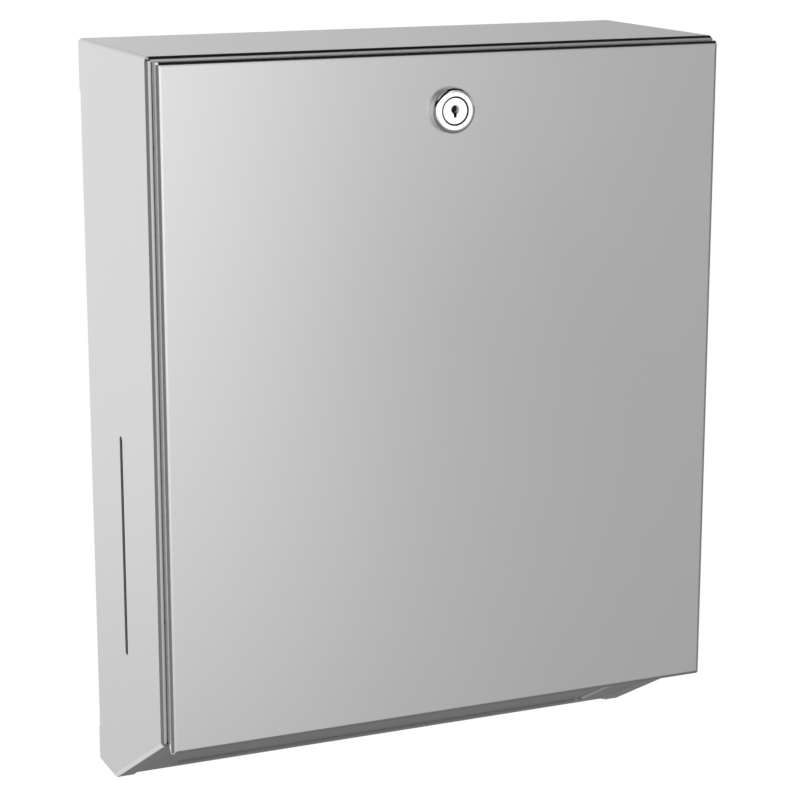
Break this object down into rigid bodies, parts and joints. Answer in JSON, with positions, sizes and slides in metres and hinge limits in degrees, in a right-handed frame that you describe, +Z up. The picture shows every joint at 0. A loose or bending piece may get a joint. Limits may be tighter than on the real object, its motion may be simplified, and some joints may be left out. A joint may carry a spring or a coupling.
{
  "type": "paper towel dispenser",
  "caption": "Wall-hung stainless dispenser for folded paper towels: slim box with a fold-down locked door, side level slots and a sloped chute with a wide pull slot.",
  "frame": {"origin": "on the wall plane, in the middle of the four fixing holes", "axes": "+X to the viewer's right, +Y into the wall, +Z up; the door faces -Y"},
  "size_m": [0.3, 0.1242, 0.3836],
  "materials": {
    "satin_steel": "satin stainless, fine upright grain",
    "mill_steel": "plain mill-finish stainless",
    "fastener_steel": "bright turned steel",
    "chrome": "polished chrome",
    "rubber": "matt black rubber"
  },
  "bodies": {
    "housing": {"housing_shell": "satin_steel", "rear_panel": "mill_steel", "chute_panel": "satin_steel", "hinge_leaf_housing": "mill_steel", "hinge_pin": "fastener_steel", "hinge_rivets": "fastener_steel", "towel_guide_left": "mill_steel", "towel_guide_right": "mill_steel", "guide_studs": "fastener_steel", "guide_nuts": "fastener_steel", "door_buffers": "rubber"},
    "door": {"door_skin": "satin_steel", "door_stiffener_left": "mill_steel", "door_stiffener_right": "mill_steel", "lock_plate": "mill_steel", "hinge_leaf_door": "mill_steel", "hinge_studs": "fastener_steel", "hinge_nuts": "fastener_steel", "lock_barrel": "chrome", "lock_washer": "fastener_steel", "lock_nut": "fastener_steel"},
    "lock": {"lock_plug": "chrome", "lock_cam": "fastener_steel", "cam_washer": "fastener_steel", "cam_screw": "fastener_steel"}
  },
  "joints": [
    {"name": "door_hinge", "type": "hinge", "parent": "housing", "child": "door", "pos_m": [0, -0.11, -0.14265], "axis": [1, 0, 0], "range_deg": [0, 110]},
    {"name": "lock_turn", "type": "hinge", "parent": "door", "child": "lock", "pos_m": [0, -0.11915, 0.16165], "axis": [0, 1, 0], "range_deg": [0, 90]}
  ]
}
